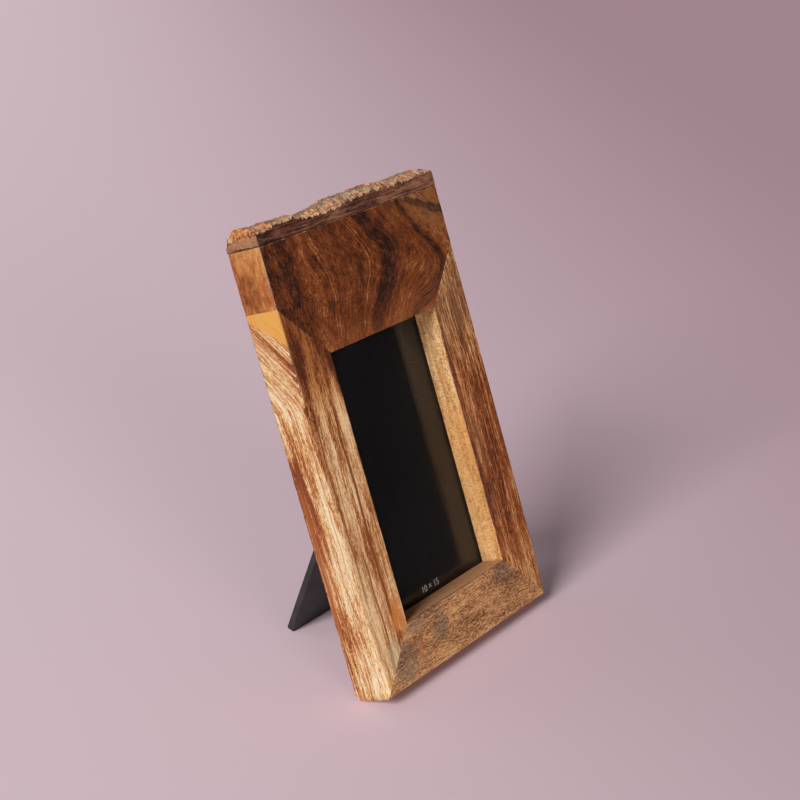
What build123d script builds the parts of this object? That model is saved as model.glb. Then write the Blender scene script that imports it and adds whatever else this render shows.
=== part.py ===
from build123d import *
import os
from math import atan2, cos, degrees, radians, sin, tan

os.makedirs("parts", exist_ok=True)

# All lengths are in millimetres and all angles in degrees.

# How the frame stands: its face leans back and the leg leans to meet it
face_lean = 19.0
leg_lean = 17.9

# The wooden surround, seen from the front
frame_width = 149.0
stile_width = 29.5
bottom_rail_width = 30.0
top_rail_width = 60.5
sight_height = 141.0
rail_thickness = 21.0
front_arris_radius = 0.5
back_arris_radius = 0.6
sight_arris_radius = 0.5
foot_front_radius = 1.5
foot_back_radius = 3.0

# The waney strip glued along the top, and the bark left on it
strip_height = 8.0
crown_height = 3.2
bark_thickness = 4.0

# The rebate behind the sight edge and what lies in it, front to back
rebate_width = 6.5
rebate_play = 0.4
glass_thickness = 2.0
insert_thickness = 0.5
board_thickness = 4.0
board_recess = 0.5

# V nails that draw the mitres together from the back
nail_wing = 5.5
nail_gauge = 0.6
nail_depth = 8.0
nail_half_angle = 45.0

# The easel hinge on the backing board
hinge_height = 114.0
leaf_width = 40.0
leaf_length = 17.0
leaf_gauge = 0.8
leaf_corner_radius = 2.5
leaf_gap = 0.3
knuckle_radius = 1.6
knuckle_half_length = 7.0
knuckle_gap = 0.2
notch_clearance = 0.3
shoulder_clearance = 0.5
pin_radius = 0.9
pin_running_clearance = 0.05
pin_head_radius = 1.35
pin_head_length = 0.5
pin_head_round = 0.3
stop_width = 10.0
stop_length = 6.0
stop_clearance = 0.05

# Rivets through both hinge leaves
rivet_spacing = 26.0
rivet_reach = 10.5
rivet_radius = 1.2
rivet_clearance = 0.05
rivet_head_radius = 2.4
rivet_head_height = 1.1
clinch_radius = 1.85
clinch_angle = 90.0

# The support leg
leg_thickness = 4.1
leg_top_width = 52.0
leg_foot_width = 70.0
leg_corner_radius = 2.0
leg_edge_radius = 0.8

# Turn buttons that keep the backing board in its rebate
button_inset = 5.5
button_arm = 9.0
button_pivot_radius = 4.2
button_tip_radius = 3.0
button_gauge = 1.0
button_lift = 0.05
button_bore_clearance = 0.1

# Screws that the turn buttons swing on
screw_radius = 1.2
screw_length = 9.0
screw_tip_length = 2.0
screw_head_radius = 2.9
screw_head_height = 1.3
screw_head_edge = 0.4
pilot_clearance = 0.05
recess_length = 2.8
recess_width = 0.7
recess_depth = 0.7

# Extra reach of a tool past the surface that it leaves
overrun = 1.0

# Directions in space: along the face and the open leg, and square to each
left_to_right = Vector(1, 0, 0)
up_face = Vector(0, sin(radians(face_lean)), cos(radians(face_lean)))
out_front = Vector(0, -cos(radians(face_lean)), sin(radians(face_lean)))
up_leg = Vector(0, -sin(radians(leg_lean)), cos(radians(leg_lean)))
leg_inward = Vector(0, -cos(radians(leg_lean)), -sin(radians(leg_lean)))

# Sizes that follow from the driving ones
half_width = frame_width / 2
sight_width = frame_width - 2 * stile_width
sight_top = bottom_rail_width + sight_height
sight_middle = bottom_rail_width + sight_height / 2
top_mitre_height = sight_top + stile_width
seam_height = sight_top + top_rail_width
rebate_depth = board_recess + board_thickness + insert_thickness + glass_thickness
rebate_opening_width = sight_width + 2 * rebate_width
rebate_opening_height = sight_height + 2 * rebate_width
rebate_bottom = bottom_rail_width - rebate_width
pane_width = rebate_opening_width - 2 * rebate_play
pane_height = rebate_opening_height - 2 * rebate_play
axis_standoff = knuckle_radius + leaf_gap
axis_depth = board_recess - axis_standoff
leg_inset = knuckle_radius - leaf_gauge
leg_outset = leg_thickness - leg_inset

# The live edge in section, from the back face to the front one. At each station
# along the strip the wood's front edge stands at a share of the strip's height,
# and the crown and the bark's cover vary through the depth.
depth_shares = (0.0, 0.1, 0.33, 0.7, 1.0)
crown_shares = (-1.0, -0.3, 0.15, 0.25, 0.0)
cover_shares = (0.12, 0.5, 1.0, 0.95, 0.3)
station_shares = (0.0, 0.07, 0.2, 0.27, 0.38, 0.45, 0.55, 0.68, 0.78, 0.93, 1.0)
wane_shares = (0.65, 0.81, 1.0, 0.71, 0.64, 0.7, 0.94, 0.94, 0.88, 1.02, 0.99)
bark_shares = (1.35, 0.85, 0.52, 0.77, 1.02, 1.43, 0.99, 1.15, 0.92, 0.81, 0.51)
depths = [share * rail_thickness for share in depth_shares]


def wood_line(wane_share):
    """Top of the wood at one station, as points of height up the face and depth."""
    edge_height = seam_height + wane_share * strip_height
    heights = [edge_height + share * crown_height for share in crown_shares]
    return list(zip(heights, depths))


def bark_line(wane_share, bark_share):
    """Top of the bark at one station, as points of height up the face and depth."""
    cover = bark_share * bark_thickness
    wood = zip(cover_shares, wood_line(wane_share))
    return [(height + share * cover, depth) for share, (height, depth) in wood]


# The floor touches the surround's rounded back foot and the leg's rounded one. The
# frame's origin is the middle of its footprint on that floor.
arris_lift = sin(radians(face_lean)) + cos(radians(face_lean)) - 1
foot_lift = sin(radians(leg_lean)) + cos(radians(leg_lean)) - 1
edge_z = -foot_back_radius * arris_lift
hinge_y = hinge_height * up_face.Y + axis_depth * out_front.Y
hinge_z = edge_z + hinge_height * up_face.Z + axis_depth * out_front.Z
leg_length = (hinge_z + leg_inset * leg_inward.Z + leg_edge_radius * foot_lift) / up_leg.Z
foot_y = hinge_y - leg_length * up_leg.Y - leg_outset * leg_inward.Y - leg_edge_radius * foot_lift
bark_points = [point for shares in zip(wane_shares, bark_shares) for point in bark_line(*shares)]
bark_y = max(height * up_face.Y + depth * out_front.Y for height, depth in bark_points)
front_y = rail_thickness * out_front.Y + foot_front_radius * arris_lift
edge_y = -(front_y + max(foot_y, bark_y)) / 2

# The back face of the surround: x to the right, y up the face, z towards the front
back_face = Plane(origin=(0, edge_y, edge_z), x_dir=left_to_right, z_dir=out_front)
# Cross sections of the surround: x up the face, y towards the front
cross_section = Plane(origin=back_face.origin, x_dir=up_face, z_dir=left_to_right)
# Planes through the hinge axis: with the board, with the open leg, across the pin
hinge_point = back_face.from_local_coords(Vector(0, hinge_height, axis_depth))
board_side = Plane(origin=hinge_point, x_dir=left_to_right, z_dir=out_front)
leg_side = Plane(origin=hinge_point, x_dir=left_to_right, z_dir=leg_inward)
pin_section = Plane(origin=hinge_point, x_dir=up_face, z_dir=left_to_right)
# The faces of the backing board, as offsets from the hinge axis towards the front
board_back = axis_standoff
board_front = axis_standoff + board_thickness


def mitre_plane(outer, inner):
    """Saw plane through two corners of the face, its normal pointing up the face."""
    start = back_face.from_local_coords(Vector(*outer))
    end = back_face.from_local_coords(Vector(*inner))
    along = end - start if end.X > start.X else start - end
    return Plane(origin=start, x_dir=along, z_dir=out_front.cross(along))


def turning_plane(home, x, y):
    """Plane through a point of another plane, whose own y runs along that one's z."""
    origin = home.from_local_coords(Vector(x, y, 0))
    return Plane(origin=origin, x_dir=home.x_dir, z_dir=-home.y_dir)


def moulding(width, outer_back_radius, outer_front_radius):
    """Section of a side or bottom rail, from its outer edge to its sight edge."""
    with BuildSketch() as section:
        Rectangle(width, rail_thickness, align=(Align.MIN, Align.MIN))
        back_outer = section.vertices().group_by(Axis.Y)[0].sort_by(Axis.X)[0]
        fillet(back_outer, radius=outer_back_radius)
        front_outer = section.vertices().group_by(Axis.Y)[-1].sort_by(Axis.X)[0]
        fillet(front_outer, radius=outer_front_radius)
        front_sight = section.vertices().group_by(Axis.Y)[-1].sort_by(Axis.X)[-1]
        fillet(front_sight, radius=sight_arris_radius)
        with Locations((width, 0)):
            rebate_corner = (Align.MAX, Align.MIN)
            Rectangle(rebate_width, rebate_depth, align=rebate_corner, mode=Mode.SUBTRACT)
    return section.sketch


def rivet(home, x, y, seat, end):
    """Domed rivet along a plane's z, its head on the seat and its clinch at the end."""
    plane = turning_plane(home, x, y)
    clinch_depth = (clinch_radius - rivet_radius) / tan(radians(clinch_angle / 2))
    with BuildPart() as one_rivet:
        with BuildSketch(plane):
            with BuildLine():
                dome_top = (0, seat - rivet_head_height)
                TangentArc(dome_top, (rivet_head_radius, seat), tangent=(1, 0))
                Polyline(
                    (rivet_head_radius, seat),
                    (rivet_radius, seat),
                    (rivet_radius, end - clinch_depth),
                    (clinch_radius, end),
                    (0, end),
                    dome_top,
                )
            make_face()
        revolve(axis=Axis(plane.origin, plane.y_dir))
    return one_rivet.part


bottom_left_mitre = mitre_plane((-half_width, 0), (-sight_width / 2, bottom_rail_width))
bottom_right_mitre = mitre_plane((half_width, 0), (sight_width / 2, bottom_rail_width))
top_left_mitre = mitre_plane((-half_width, top_mitre_height), (-sight_width / 2, sight_top))
top_right_mitre = mitre_plane((half_width, top_mitre_height), (sight_width / 2, sight_top))

# Side view of the surround, with the rounding that its foot is sanded to after gluing
with BuildPart() as sanded_foot:
    with BuildSketch(cross_section.offset(-half_width - overrun)) as side_view:
        Rectangle(seam_height, rail_thickness, align=(Align.MIN, Align.MIN))
        back_corner = side_view.vertices().group_by(Axis.Y)[0].sort_by(Axis.X)[0]
        fillet(back_corner, radius=foot_back_radius)
        front_corner = side_view.vertices().group_by(Axis.Y)[-1].sort_by(Axis.X)[0]
        fillet(front_corner, radius=foot_front_radius)
    extrude(amount=frame_width + 2 * overrun)

# V nails: two at each mitre, pressed in from the back and flush with it
nail_place_shares = (0.3, 0.56)
wing = nail_wing * cos(radians(nail_half_angle))
web = nail_gauge * cos(radians(nail_half_angle))
nail_outline = [
    (0, 0),
    (wing, wing),
    (wing + web, wing - web),
    (2 * web, 0),
    (wing + web, web - wing),
    (wing, -wing),
]
nail_places = []
for outer_height, inner_height in ((0, bottom_rail_width), (top_mitre_height, sight_top)):
    rise = inner_height - outer_height
    for side in (-1, 1):
        turn = degrees(atan2(rise, -side * stile_width))
        for share in nail_place_shares:
            place = (side * (half_width - share * stile_width), outer_height + share * rise, 0)
            nail_places.append(Location(place, (0, 0, turn)))

with BuildPart() as mitre_v_nails:
    with BuildSketch(back_face):
        with Locations(nail_places):
            Polygon(*nail_outline, align=None)
    extrude(amount=nail_depth)
mitre_v_nails.part.label = "mitre_v_nails"
export_step(mitre_v_nails.part, "parts/mitre_v_nails.step")

# Turn button places: two on each stile, beside the rebate
button_height_shares = {"lower": 0.22, "upper": 0.78}
button_places = {}
for level, share in button_height_shares.items():
    for hand, side in (("left", -1), ("right", 1)):
        across = side * (rebate_opening_width / 2 + button_inset)
        button_places[f"{level}_{hand}"] = (across, rebate_bottom + share * rebate_opening_height)

# Left stile: a rebated length of moulding, mitred at both ends and rounded at its foot
with BuildPart() as left_stile:
    with BuildSketch(turning_plane(back_face, -half_width, top_mitre_height + overrun)):
        add(moulding(stile_width, back_arris_radius, front_arris_radius))
    extrude(amount=top_mitre_height + 2 * overrun)
    split(bisect_by=bottom_left_mitre, keep=Keep.TOP)
    split(bisect_by=top_left_mitre, keep=Keep.BOTTOM)
    add(sanded_foot.part, mode=Mode.INTERSECT)
    add(mitre_v_nails.part, mode=Mode.SUBTRACT)
    # Pilot holes for the turn button screws
    with BuildSketch(back_face):
        with Locations(button_places["lower_left"], button_places["upper_left"]):
            Circle(screw_radius + pilot_clearance)
    extrude(amount=screw_length + overrun, mode=Mode.SUBTRACT)
left_stile.part.label = "left_stile"
export_step(left_stile.part, "parts/left_stile.step")

# Right stile: the left one's mirror image
with BuildPart() as right_stile:
    mirror(left_stile.part, about=Plane.YZ)
right_stile.part.label = "right_stile"
export_step(right_stile.part, "parts/right_stile.step")

# Bottom rail: the same moulding with a slightly wider face
with BuildPart() as bottom_rail:
    with BuildSketch(cross_section.offset(-half_width - overrun)):
        add(moulding(bottom_rail_width, foot_back_radius, foot_front_radius))
    extrude(amount=frame_width + 2 * overrun)
    split(bisect_by=bottom_left_mitre, keep=Keep.BOTTOM)
    split(bisect_by=bottom_right_mitre, keep=Keep.BOTTOM)
    add(mitre_v_nails.part, mode=Mode.SUBTRACT)
bottom_rail.part.label = "bottom_rail"
export_step(bottom_rail.part, "parts/bottom_rail.step")

# Top rail: a wide plank, eased at its ends, whose lower corners meet the stiles
with BuildPart() as top_rail:
    with BuildSketch(turning_plane(back_face, 0, seam_height)) as plank_end:
        Rectangle(frame_width, rail_thickness, align=(Align.CENTER, Align.MIN))
        fillet(plank_end.vertices().group_by(Axis.Y)[0], radius=back_arris_radius)
        fillet(plank_end.vertices().group_by(Axis.Y)[-1], radius=front_arris_radius)
    extrude(amount=top_rail_width)
    with BuildSketch(cross_section.offset(-half_width - overrun)):
        with Locations((sight_top, 0)):
            rebate_corner = (Align.MIN, Align.MIN)
            Rectangle(rebate_width, rebate_depth, align=rebate_corner)
    extrude(amount=frame_width + 2 * overrun, mode=Mode.SUBTRACT)
    long_edges = top_rail.edges().filter_by(Axis.X)
    sight_edge = long_edges.sort_by(Axis(back_face.origin, out_front - up_face))[-1]
    fillet(sight_edge, radius=sight_arris_radius)
    split(bisect_by=top_left_mitre, keep=Keep.TOP)
    split(bisect_by=top_right_mitre, keep=Keep.TOP)
    add(mitre_v_nails.part, mode=Mode.SUBTRACT)
top_rail.part.label = "top_rail"
export_step(top_rail.part, "parts/top_rail.step")

# Live edge strip: the waney outer slice of a plank, glued on top of the top rail
with BuildPart() as live_edge_strip:
    for station, wane in zip(station_shares, wane_shares):
        with BuildSketch(cross_section.offset(station * frame_width - half_width)):
            with BuildLine():
                seam_back, seam_front = (seam_height, 0), (seam_height, rail_thickness)
                Polyline(seam_back, *wood_line(wane), seam_front, close=True)
            make_face()
    loft(ruled=True)
live_edge_strip.part.label = "live_edge_strip"
export_step(live_edge_strip.part, "parts/live_edge_strip.step")

# Bark: the uneven skin left on the strip's waney side
with BuildPart() as bark_layer:
    for station, wane, bark in zip(station_shares, wane_shares, bark_shares):
        with BuildSketch(cross_section.offset(station * frame_width - half_width)):
            with BuildLine():
                Polyline(*wood_line(wane), *reversed(bark_line(wane, bark)), close=True)
            make_face()
    loft(ruled=True)
bark_layer.part.label = "bark_layer"
export_step(bark_layer.part, "parts/bark_layer.step")

# Glass: held against the sight edge's lip
with BuildPart() as glass:
    with BuildSketch(back_face.offset(rebate_depth)):
        with Locations((0, sight_middle)):
            Rectangle(pane_width, pane_height)
    extrude(amount=-glass_thickness)
glass.part.label = "glass"
export_step(glass.part, "parts/glass.step")

# Photo insert: the card that shows through the glass until a photograph takes its place
with BuildPart() as photo_insert:
    with BuildSketch(back_face.offset(board_recess + board_thickness)):
        with Locations((0, sight_middle)):
            Rectangle(pane_width, pane_height)
    extrude(amount=insert_thickness)
photo_insert.part.label = "photo_insert"
export_step(photo_insert.part, "parts/photo_insert.step")

# Backing board: closes the rebate and carries the hinge
rivet_columns = (-rivet_spacing / 2, rivet_spacing / 2)
with BuildPart() as backing_board:
    with BuildSketch(back_face.offset(board_recess)):
        with Locations((0, sight_middle)):
            Rectangle(pane_width, pane_height)
    extrude(amount=board_thickness)
    with Locations(board_side.offset(board_front)):
        with Locations([(x, rivet_reach) for x in rivet_columns]):
            CounterSinkHole(
                rivet_radius + rivet_clearance,
                clinch_radius + rivet_clearance,
                counter_sink_angle=clinch_angle,
            )
backing_board.part.label = "backing_board"
export_step(backing_board.part, "parts/backing_board.step")

# Board leaf of the hinge: a flat plate with a knuckle rolled at each end
with BuildPart() as hinge_board_leaf:
    with BuildSketch(board_side.offset(board_back)) as leaf_outline:
        with Locations((0, -knuckle_radius)):
            leaf_foot = (Align.CENTER, Align.MIN)
            Rectangle(leaf_width, leaf_length + knuckle_radius, align=leaf_foot)
        fillet(leaf_outline.vertices().group_by(Axis.Y)[-1], radius=leaf_corner_radius)
    extrude(amount=-leaf_gauge)
    with BuildSketch(board_side.offset(board_back)):
        Rectangle(
            2 * (knuckle_half_length + knuckle_gap),
            2 * (knuckle_radius + notch_clearance),
        )
        with Locations([(x, rivet_reach) for x in rivet_columns]):
            Circle(rivet_radius + rivet_clearance)
    extrude(amount=-leaf_gauge, mode=Mode.SUBTRACT)
    for side in (-1, 1):
        with BuildSketch(pin_section.offset(side * (knuckle_half_length + knuckle_gap))):
            Circle(knuckle_radius)
        extrude(amount=side * (leaf_width / 2 - knuckle_half_length - knuckle_gap))
    with BuildSketch(pin_section):
        Circle(pin_radius)
    extrude(amount=leaf_width, both=True, mode=Mode.SUBTRACT)
hinge_board_leaf.part.label = "hinge_board_leaf"
export_step(hinge_board_leaf.part, "parts/hinge_board_leaf.step")

# Leg leaf of the hinge: its middle knuckle has a tab that stops on the board leaf
shoulder = knuckle_radius + shoulder_clearance
with BuildPart() as hinge_leg_leaf:
    with BuildSketch(leg_side.offset(knuckle_radius)) as leaf_outline:
        with Locations((0, -shoulder)):
            leaf_head = (Align.CENTER, Align.MAX)
            Rectangle(leaf_width, leaf_length - shoulder, align=leaf_head)
        fillet(leaf_outline.vertices().group_by(Axis.Y)[0], radius=leaf_corner_radius)
        Rectangle(2 * knuckle_half_length, shoulder, align=leaf_head)
    extrude(amount=-leaf_gauge)
    with BuildSketch(board_side.offset(board_back - leaf_gauge - stop_clearance)):
        Rectangle(stop_width, stop_length, align=(Align.CENTER, Align.MIN))
    extrude(amount=-leaf_gauge)
    with BuildSketch(pin_section):
        Circle(knuckle_radius)
    extrude(amount=knuckle_half_length, both=True)
    with BuildSketch(pin_section):
        Circle(pin_radius + pin_running_clearance)
    extrude(amount=leaf_width, both=True, mode=Mode.SUBTRACT)
    with Locations(leg_side.offset(knuckle_radius)):
        with Locations([(x, -rivet_reach) for x in rivet_columns]):
            CounterSinkHole(
                rivet_radius + rivet_clearance,
                clinch_radius + rivet_clearance,
                counter_sink_angle=clinch_angle,
            )
hinge_leg_leaf.part.label = "hinge_leg_leaf"
export_step(hinge_leg_leaf.part, "parts/hinge_leg_leaf.step")

# Hinge pin: pressed in the board leaf and headed at both ends
with BuildPart() as hinge_pin:
    with BuildSketch(pin_section):
        Circle(pin_radius)
    extrude(amount=leaf_width / 2, both=True)
    for side in (-1, 1):
        with BuildSketch(pin_section.offset(side * leaf_width / 2)):
            Circle(pin_head_radius)
        extrude(amount=side * pin_head_length)
    end_faces = hinge_pin.faces().sort_by(Axis.X)
    fillet([*end_faces[0].edges(), *end_faces[-1].edges()], radius=pin_head_round)
hinge_pin.part.label = "hinge_pin"
export_step(hinge_pin.part, "parts/hinge_pin.step")

# Rivets that fix the board leaf to the backing board
with BuildPart() as hinge_board_rivets:
    for x in rivet_columns:
        add(rivet(board_side, x, rivet_reach, board_back - leaf_gauge, board_front))
hinge_board_rivets.part.label = "hinge_board_rivets"
export_step(hinge_board_rivets.part, "parts/hinge_board_rivets.step")

# Rivets that fix the leg leaf to the leg
with BuildPart() as hinge_leg_rivets:
    for x in rivet_columns:
        add(rivet(leg_side, x, -rivet_reach, -leg_outset, knuckle_radius))
hinge_leg_rivets.part.label = "hinge_leg_rivets"
export_step(hinge_leg_rivets.part, "parts/hinge_leg_rivets.step")

# Support leg: a board that widens towards its foot
with BuildPart() as support_leg:
    with BuildSketch(leg_side.offset(leg_inset)) as leg_outline:
        with BuildLine():
            Polyline(
                (-leg_top_width / 2, -shoulder),
                (leg_top_width / 2, -shoulder),
                (leg_foot_width / 2, -leg_length),
                (-leg_foot_width / 2, -leg_length),
                close=True,
            )
        make_face()
        fillet(leg_outline.vertices(), radius=leg_corner_radius)
    extrude(amount=-leg_thickness)
    broad_faces = support_leg.faces().sort_by(Axis(hinge_point, leg_inward))
    fillet([*broad_faces[0].edges(), *broad_faces[-1].edges()], radius=leg_edge_radius)
    with BuildSketch(leg_side.offset(leg_inset)):
        with Locations([(x, -rivet_reach) for x in rivet_columns]):
            Circle(rivet_radius + rivet_clearance)
    extrude(amount=-leg_thickness, mode=Mode.SUBTRACT)
support_leg.part.label = "support_leg"
export_step(support_leg.part, "parts/support_leg.step")

# Turn buttons: flat arms that swing over the backing board's edge
for name, (x, y) in button_places.items():
    arm = -button_arm if x > 0 else button_arm
    with BuildPart() as turn_button:
        with BuildSketch(back_face.offset(-button_lift)):
            with Locations((x, y)):
                Circle(button_pivot_radius)
            with Locations((x + arm, y)):
                Circle(button_tip_radius)
            make_hull()
            with Locations((x, y)):
                Circle(screw_radius + button_bore_clearance, mode=Mode.SUBTRACT)
        extrude(amount=-button_gauge)
    turn_button.part.label = f"turn_button_{name}"
    export_step(turn_button.part, f"parts/turn_button_{name}.step")

# Screws of the turn buttons: domed heads with a crossed driver recess
screw_seat = -2 * button_lift - button_gauge
with BuildPart() as turn_button_screws:
    for x, y in button_places.values():
        screw_plane = turning_plane(back_face, x, y)
        with BuildSketch(screw_plane):
            with BuildLine():
                dome_top = (0, screw_seat - screw_head_height)
                dome_rim = (screw_head_radius, screw_seat - screw_head_edge)
                TangentArc(dome_top, dome_rim, tangent=(1, 0))
                Polyline(
                    dome_rim,
                    (screw_head_radius, screw_seat),
                    (screw_radius, screw_seat),
                    (screw_radius, screw_length - screw_tip_length),
                    (0, screw_length),
                    dome_top,
                )
            make_face()
        revolve(axis=Axis(screw_plane.origin, screw_plane.y_dir))
    with BuildSketch(back_face.offset(screw_seat - screw_head_height - overrun)):
        with Locations(list(button_places.values())):
            Rectangle(recess_length, recess_width)
            Rectangle(recess_width, recess_length)
    extrude(amount=recess_depth + overrun, mode=Mode.SUBTRACT)
turn_button_screws.part.label = "turn_button_screws"
export_step(turn_button_screws.part, "parts/turn_button_screws.step")
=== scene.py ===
from math import radians

import bmesh
import bpy
from mathutils import Matrix, Vector, noise
from numpy import interp


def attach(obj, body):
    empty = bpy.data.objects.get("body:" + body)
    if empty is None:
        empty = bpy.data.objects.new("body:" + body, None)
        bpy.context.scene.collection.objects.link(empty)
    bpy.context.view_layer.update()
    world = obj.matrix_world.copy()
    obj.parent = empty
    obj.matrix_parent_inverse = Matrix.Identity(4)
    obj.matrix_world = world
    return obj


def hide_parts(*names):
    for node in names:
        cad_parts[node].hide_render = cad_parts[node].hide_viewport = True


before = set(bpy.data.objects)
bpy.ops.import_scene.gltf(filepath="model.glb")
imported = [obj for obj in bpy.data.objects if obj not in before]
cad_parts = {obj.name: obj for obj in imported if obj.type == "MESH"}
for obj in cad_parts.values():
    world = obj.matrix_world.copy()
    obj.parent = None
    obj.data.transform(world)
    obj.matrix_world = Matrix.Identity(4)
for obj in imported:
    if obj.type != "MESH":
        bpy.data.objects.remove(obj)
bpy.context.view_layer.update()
scene = bpy.context.scene

# The photographer's camera: a short telephoto on a square picture, a metre from the
# frame, to its left and a little above it, with the frame's face turned away from it.
lens_length = 87.85
sensor_width = 36
camera_place = Vector((-0.76595, -0.54253, 0.47703))
camera_target = Vector((-0.00322, -0.00496, 0.13301))


def shown(name, data):
    """Adds an object to the scene."""
    thing = bpy.data.objects.new(name, data)
    scene.collection.objects.link(thing)
    return thing


camera_data = bpy.data.cameras.new("studio_camera")
camera_data.lens = lens_length
camera_data.sensor_width = sensor_width
camera = shown("studio_camera", camera_data)
camera.location = camera_place
camera.rotation_euler = (camera_target - camera_place).to_track_quat("-Z", "Y").to_euler()
scene.camera = camera

# The studio: a sheet of mauve paper laid flat, a wide soft light far off to the left,
# weaker ones low in front and high behind, and a dim room, black to the right where the
# glass looks. The paper's colour has painted light and shade: a little paler towards the
# light, darker to the right, and black to glossy rays far to the right as a painted dark reflection.
paper_size = 30
paper_painted_lit = (0.86, 0.67, 0.73)
paper_painted_shade = (0.49, 0.325, 0.375)
paper_tooth = (0.002, 0.002, 0.002)
black = (0, 0, 0)
across_picture = (0.707, -0.707, 0)
shade_start, shade_end = -0.35, 0.65
reflection_shade_start, reflection_shade_end = 0.35, 0.8
# Name, the side it comes from, strength, and spread in degrees
soft_lights = (
    ("left_light", (-1, -0.04, 0.57), 3.3, 26),
    ("front_light", (-0.45, -0.88, 0.08), 2.1, 24),
    ("back_light", (-0.5, 0.8, 0.7), 0.3, 60),
)
room_colour = (1, 0.955, 0.97)
room_strength = 0.08
unlit_room = (0.02, 0.018, 0.02)
unlit_start, unlit_end = 0.1, 0.5
backdrop_strength = 0.75


def feed(node, values):
    """Feeds a node's inputs, by name or number, from sockets or with plain values."""
    for key, value in values.items():
        socket = node.inputs[key]
        if isinstance(value, bpy.types.NodeSocket):
            tree.links.new(value, socket)
        elif socket.type == "RGBA":
            socket.default_value = (*value, 1)
        else:
            socket.default_value = value


def put(kind, feeds=None, **settings):
    """Adds a node to the tree in hand, sets it up and feeds it."""
    node = tree.nodes.new(kind)
    for key, value in settings.items():
        setattr(node, key, value)
    feed(node, feeds or {})
    return node


def sums(operation, first, second=0, third=0):
    """One step of arithmetic."""
    return put("ShaderNodeMath", {0: first, 1: second, 2: third}, operation=operation).outputs[0]


def vectors(operation, first, second=(0, 0, 0), third=(0, 0, 0)):
    """One step of arithmetic on vectors, with its vector and its plain value."""
    return put("ShaderNodeVectorMath", {0: first, 1: second, 2: third}, operation=operation).outputs


def both(*masks):
    """Where all of the masks hold."""
    total = masks[0]
    for mask in masks[1:]:
        total = sums("MULTIPLY", total, mask)
    return total


def fade(value, start, end, low=0, high=1):
    """Smooth change from low to high while a value goes from start to end."""
    feeds = {"Value": value, "From Min": start, "From Max": end, "To Min": low, "To Max": high}
    return put("ShaderNodeMapRange", feeds, interpolation_type="SMOOTHSTEP").outputs[0]


def blend(share, under, over):
    """Lays one colour over another by a share from 0 to 1."""
    return put("ShaderNodeMix", {0: share, 6: under, 7: over}, data_type="RGBA").outputs[2]


def speckle(place, stretch, detail=2, rough=0.5, wander=0):
    """Noise from 0 to 1 whose spots have the given size along each direction."""
    scaled = vectors("MULTIPLY", place, tuple(1 / size for size in stretch))[0]
    feeds = {"Vector": scaled, "Scale": 1, "Detail": detail, "Roughness": rough, "Distortion": wander}
    return put("ShaderNodeTexNoise", feeds).outputs[0]


def relief(strength, distance, height):
    """The normal of a surface with a fine relief."""
    return put("ShaderNodeBump", {"Strength": strength, "Distance": distance, "Height": height}).outputs[0]


def new_material(name):
    """A material with its one shader. Its node tree becomes the tree in hand."""
    global tree
    material = bpy.data.materials.new(name)
    material.use_nodes = True
    tree = material.node_tree
    tree.nodes.clear()
    shader = put("ShaderNodeBsdfPrincipled")
    put("ShaderNodeOutputMaterial", {"Surface": shader.outputs[0]})
    return material, shader


mauve_paper, shader = new_material("mauve_paper")
place = put("ShaderNodeTexCoord").outputs["Object"]
to_the_right = vectors("DOT_PRODUCT", place, across_picture)["Value"]
# Painted light and shade: the paper's colour pales towards the light and darkens to the right.
paper_painted_light_and_shade = blend(fade(to_the_right, shade_start, shade_end), paper_painted_lit, paper_painted_shade)
# Painted reflection shade: far to the right the paper turns black for glossy rays, so nothing reflects the
# floor there.
mirrored = put("ShaderNodeLightPath").outputs["Is Glossy Ray"]
painted_reflection_shade = both(mirrored, fade(to_the_right, reflection_shade_start, reflection_shade_end))
feed(shader, {
    "Base Color": blend(painted_reflection_shade, paper_painted_light_and_shade, black), "Roughness": 0.9, "Specular IOR Level": 0,
    "Normal": relief(0.15, 0.0002, speckle(place, paper_tooth, 3))})

sheet_mesh = bmesh.new()
bmesh.ops.create_grid(sheet_mesh, x_segments=1, y_segments=1, size=paper_size / 2)
paper_data = bpy.data.meshes.new("paper_sheet")
sheet_mesh.to_mesh(paper_data)
sheet_mesh.free()
paper_data.materials.append(mauve_paper)
paper_sheet = shown("paper_sheet", paper_data)

for name, coming_from, strength, spread in soft_lights:
    light_data = bpy.data.lights.new(name, "SUN")
    light_data.energy = strength
    light_data.angle = radians(spread)
    light = shown(name, light_data)
    light.location = coming_from
    light.rotation_euler = light.location.to_track_quat("Z", "Y").to_euler()

room = bpy.data.worlds.new("pale_room")
room.use_nodes = True
tree = room.node_tree
tree.nodes.clear()
light_path = put("ShaderNodeLightPath").outputs
outward = put("ShaderNodeTexCoord").outputs["Generated"]
rightward = put("ShaderNodeSeparateXYZ", {0: outward}).outputs[0]
unlit = both(light_path["Is Glossy Ray"], fade(rightward, unlit_start, unlit_end))
room_light = put("ShaderNodeBackground", {
    "Color": blend(unlit, room_colour, unlit_room), "Strength": room_strength})
backdrop = put("ShaderNodeBackground", {"Color": paper_painted_shade, "Strength": backdrop_strength})
seen = put("ShaderNodeMixShader", {
    0: light_path["Is Camera Ray"], 1: room_light.outputs[0], 2: backdrop.outputs[0]})
put("ShaderNodeOutputWorld", {0: seen.outputs[0]})
scene.world = room
scene.view_settings.view_transform = "Standard"

# The stiles: lengths of rebated hardwood moulding, mitred at both ends and glued up with
# the rails. The left one is honey coloured, with a red line of grain down its face and
# streaks that sweep across its outer side; the right one is russet between pale ends.

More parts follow.
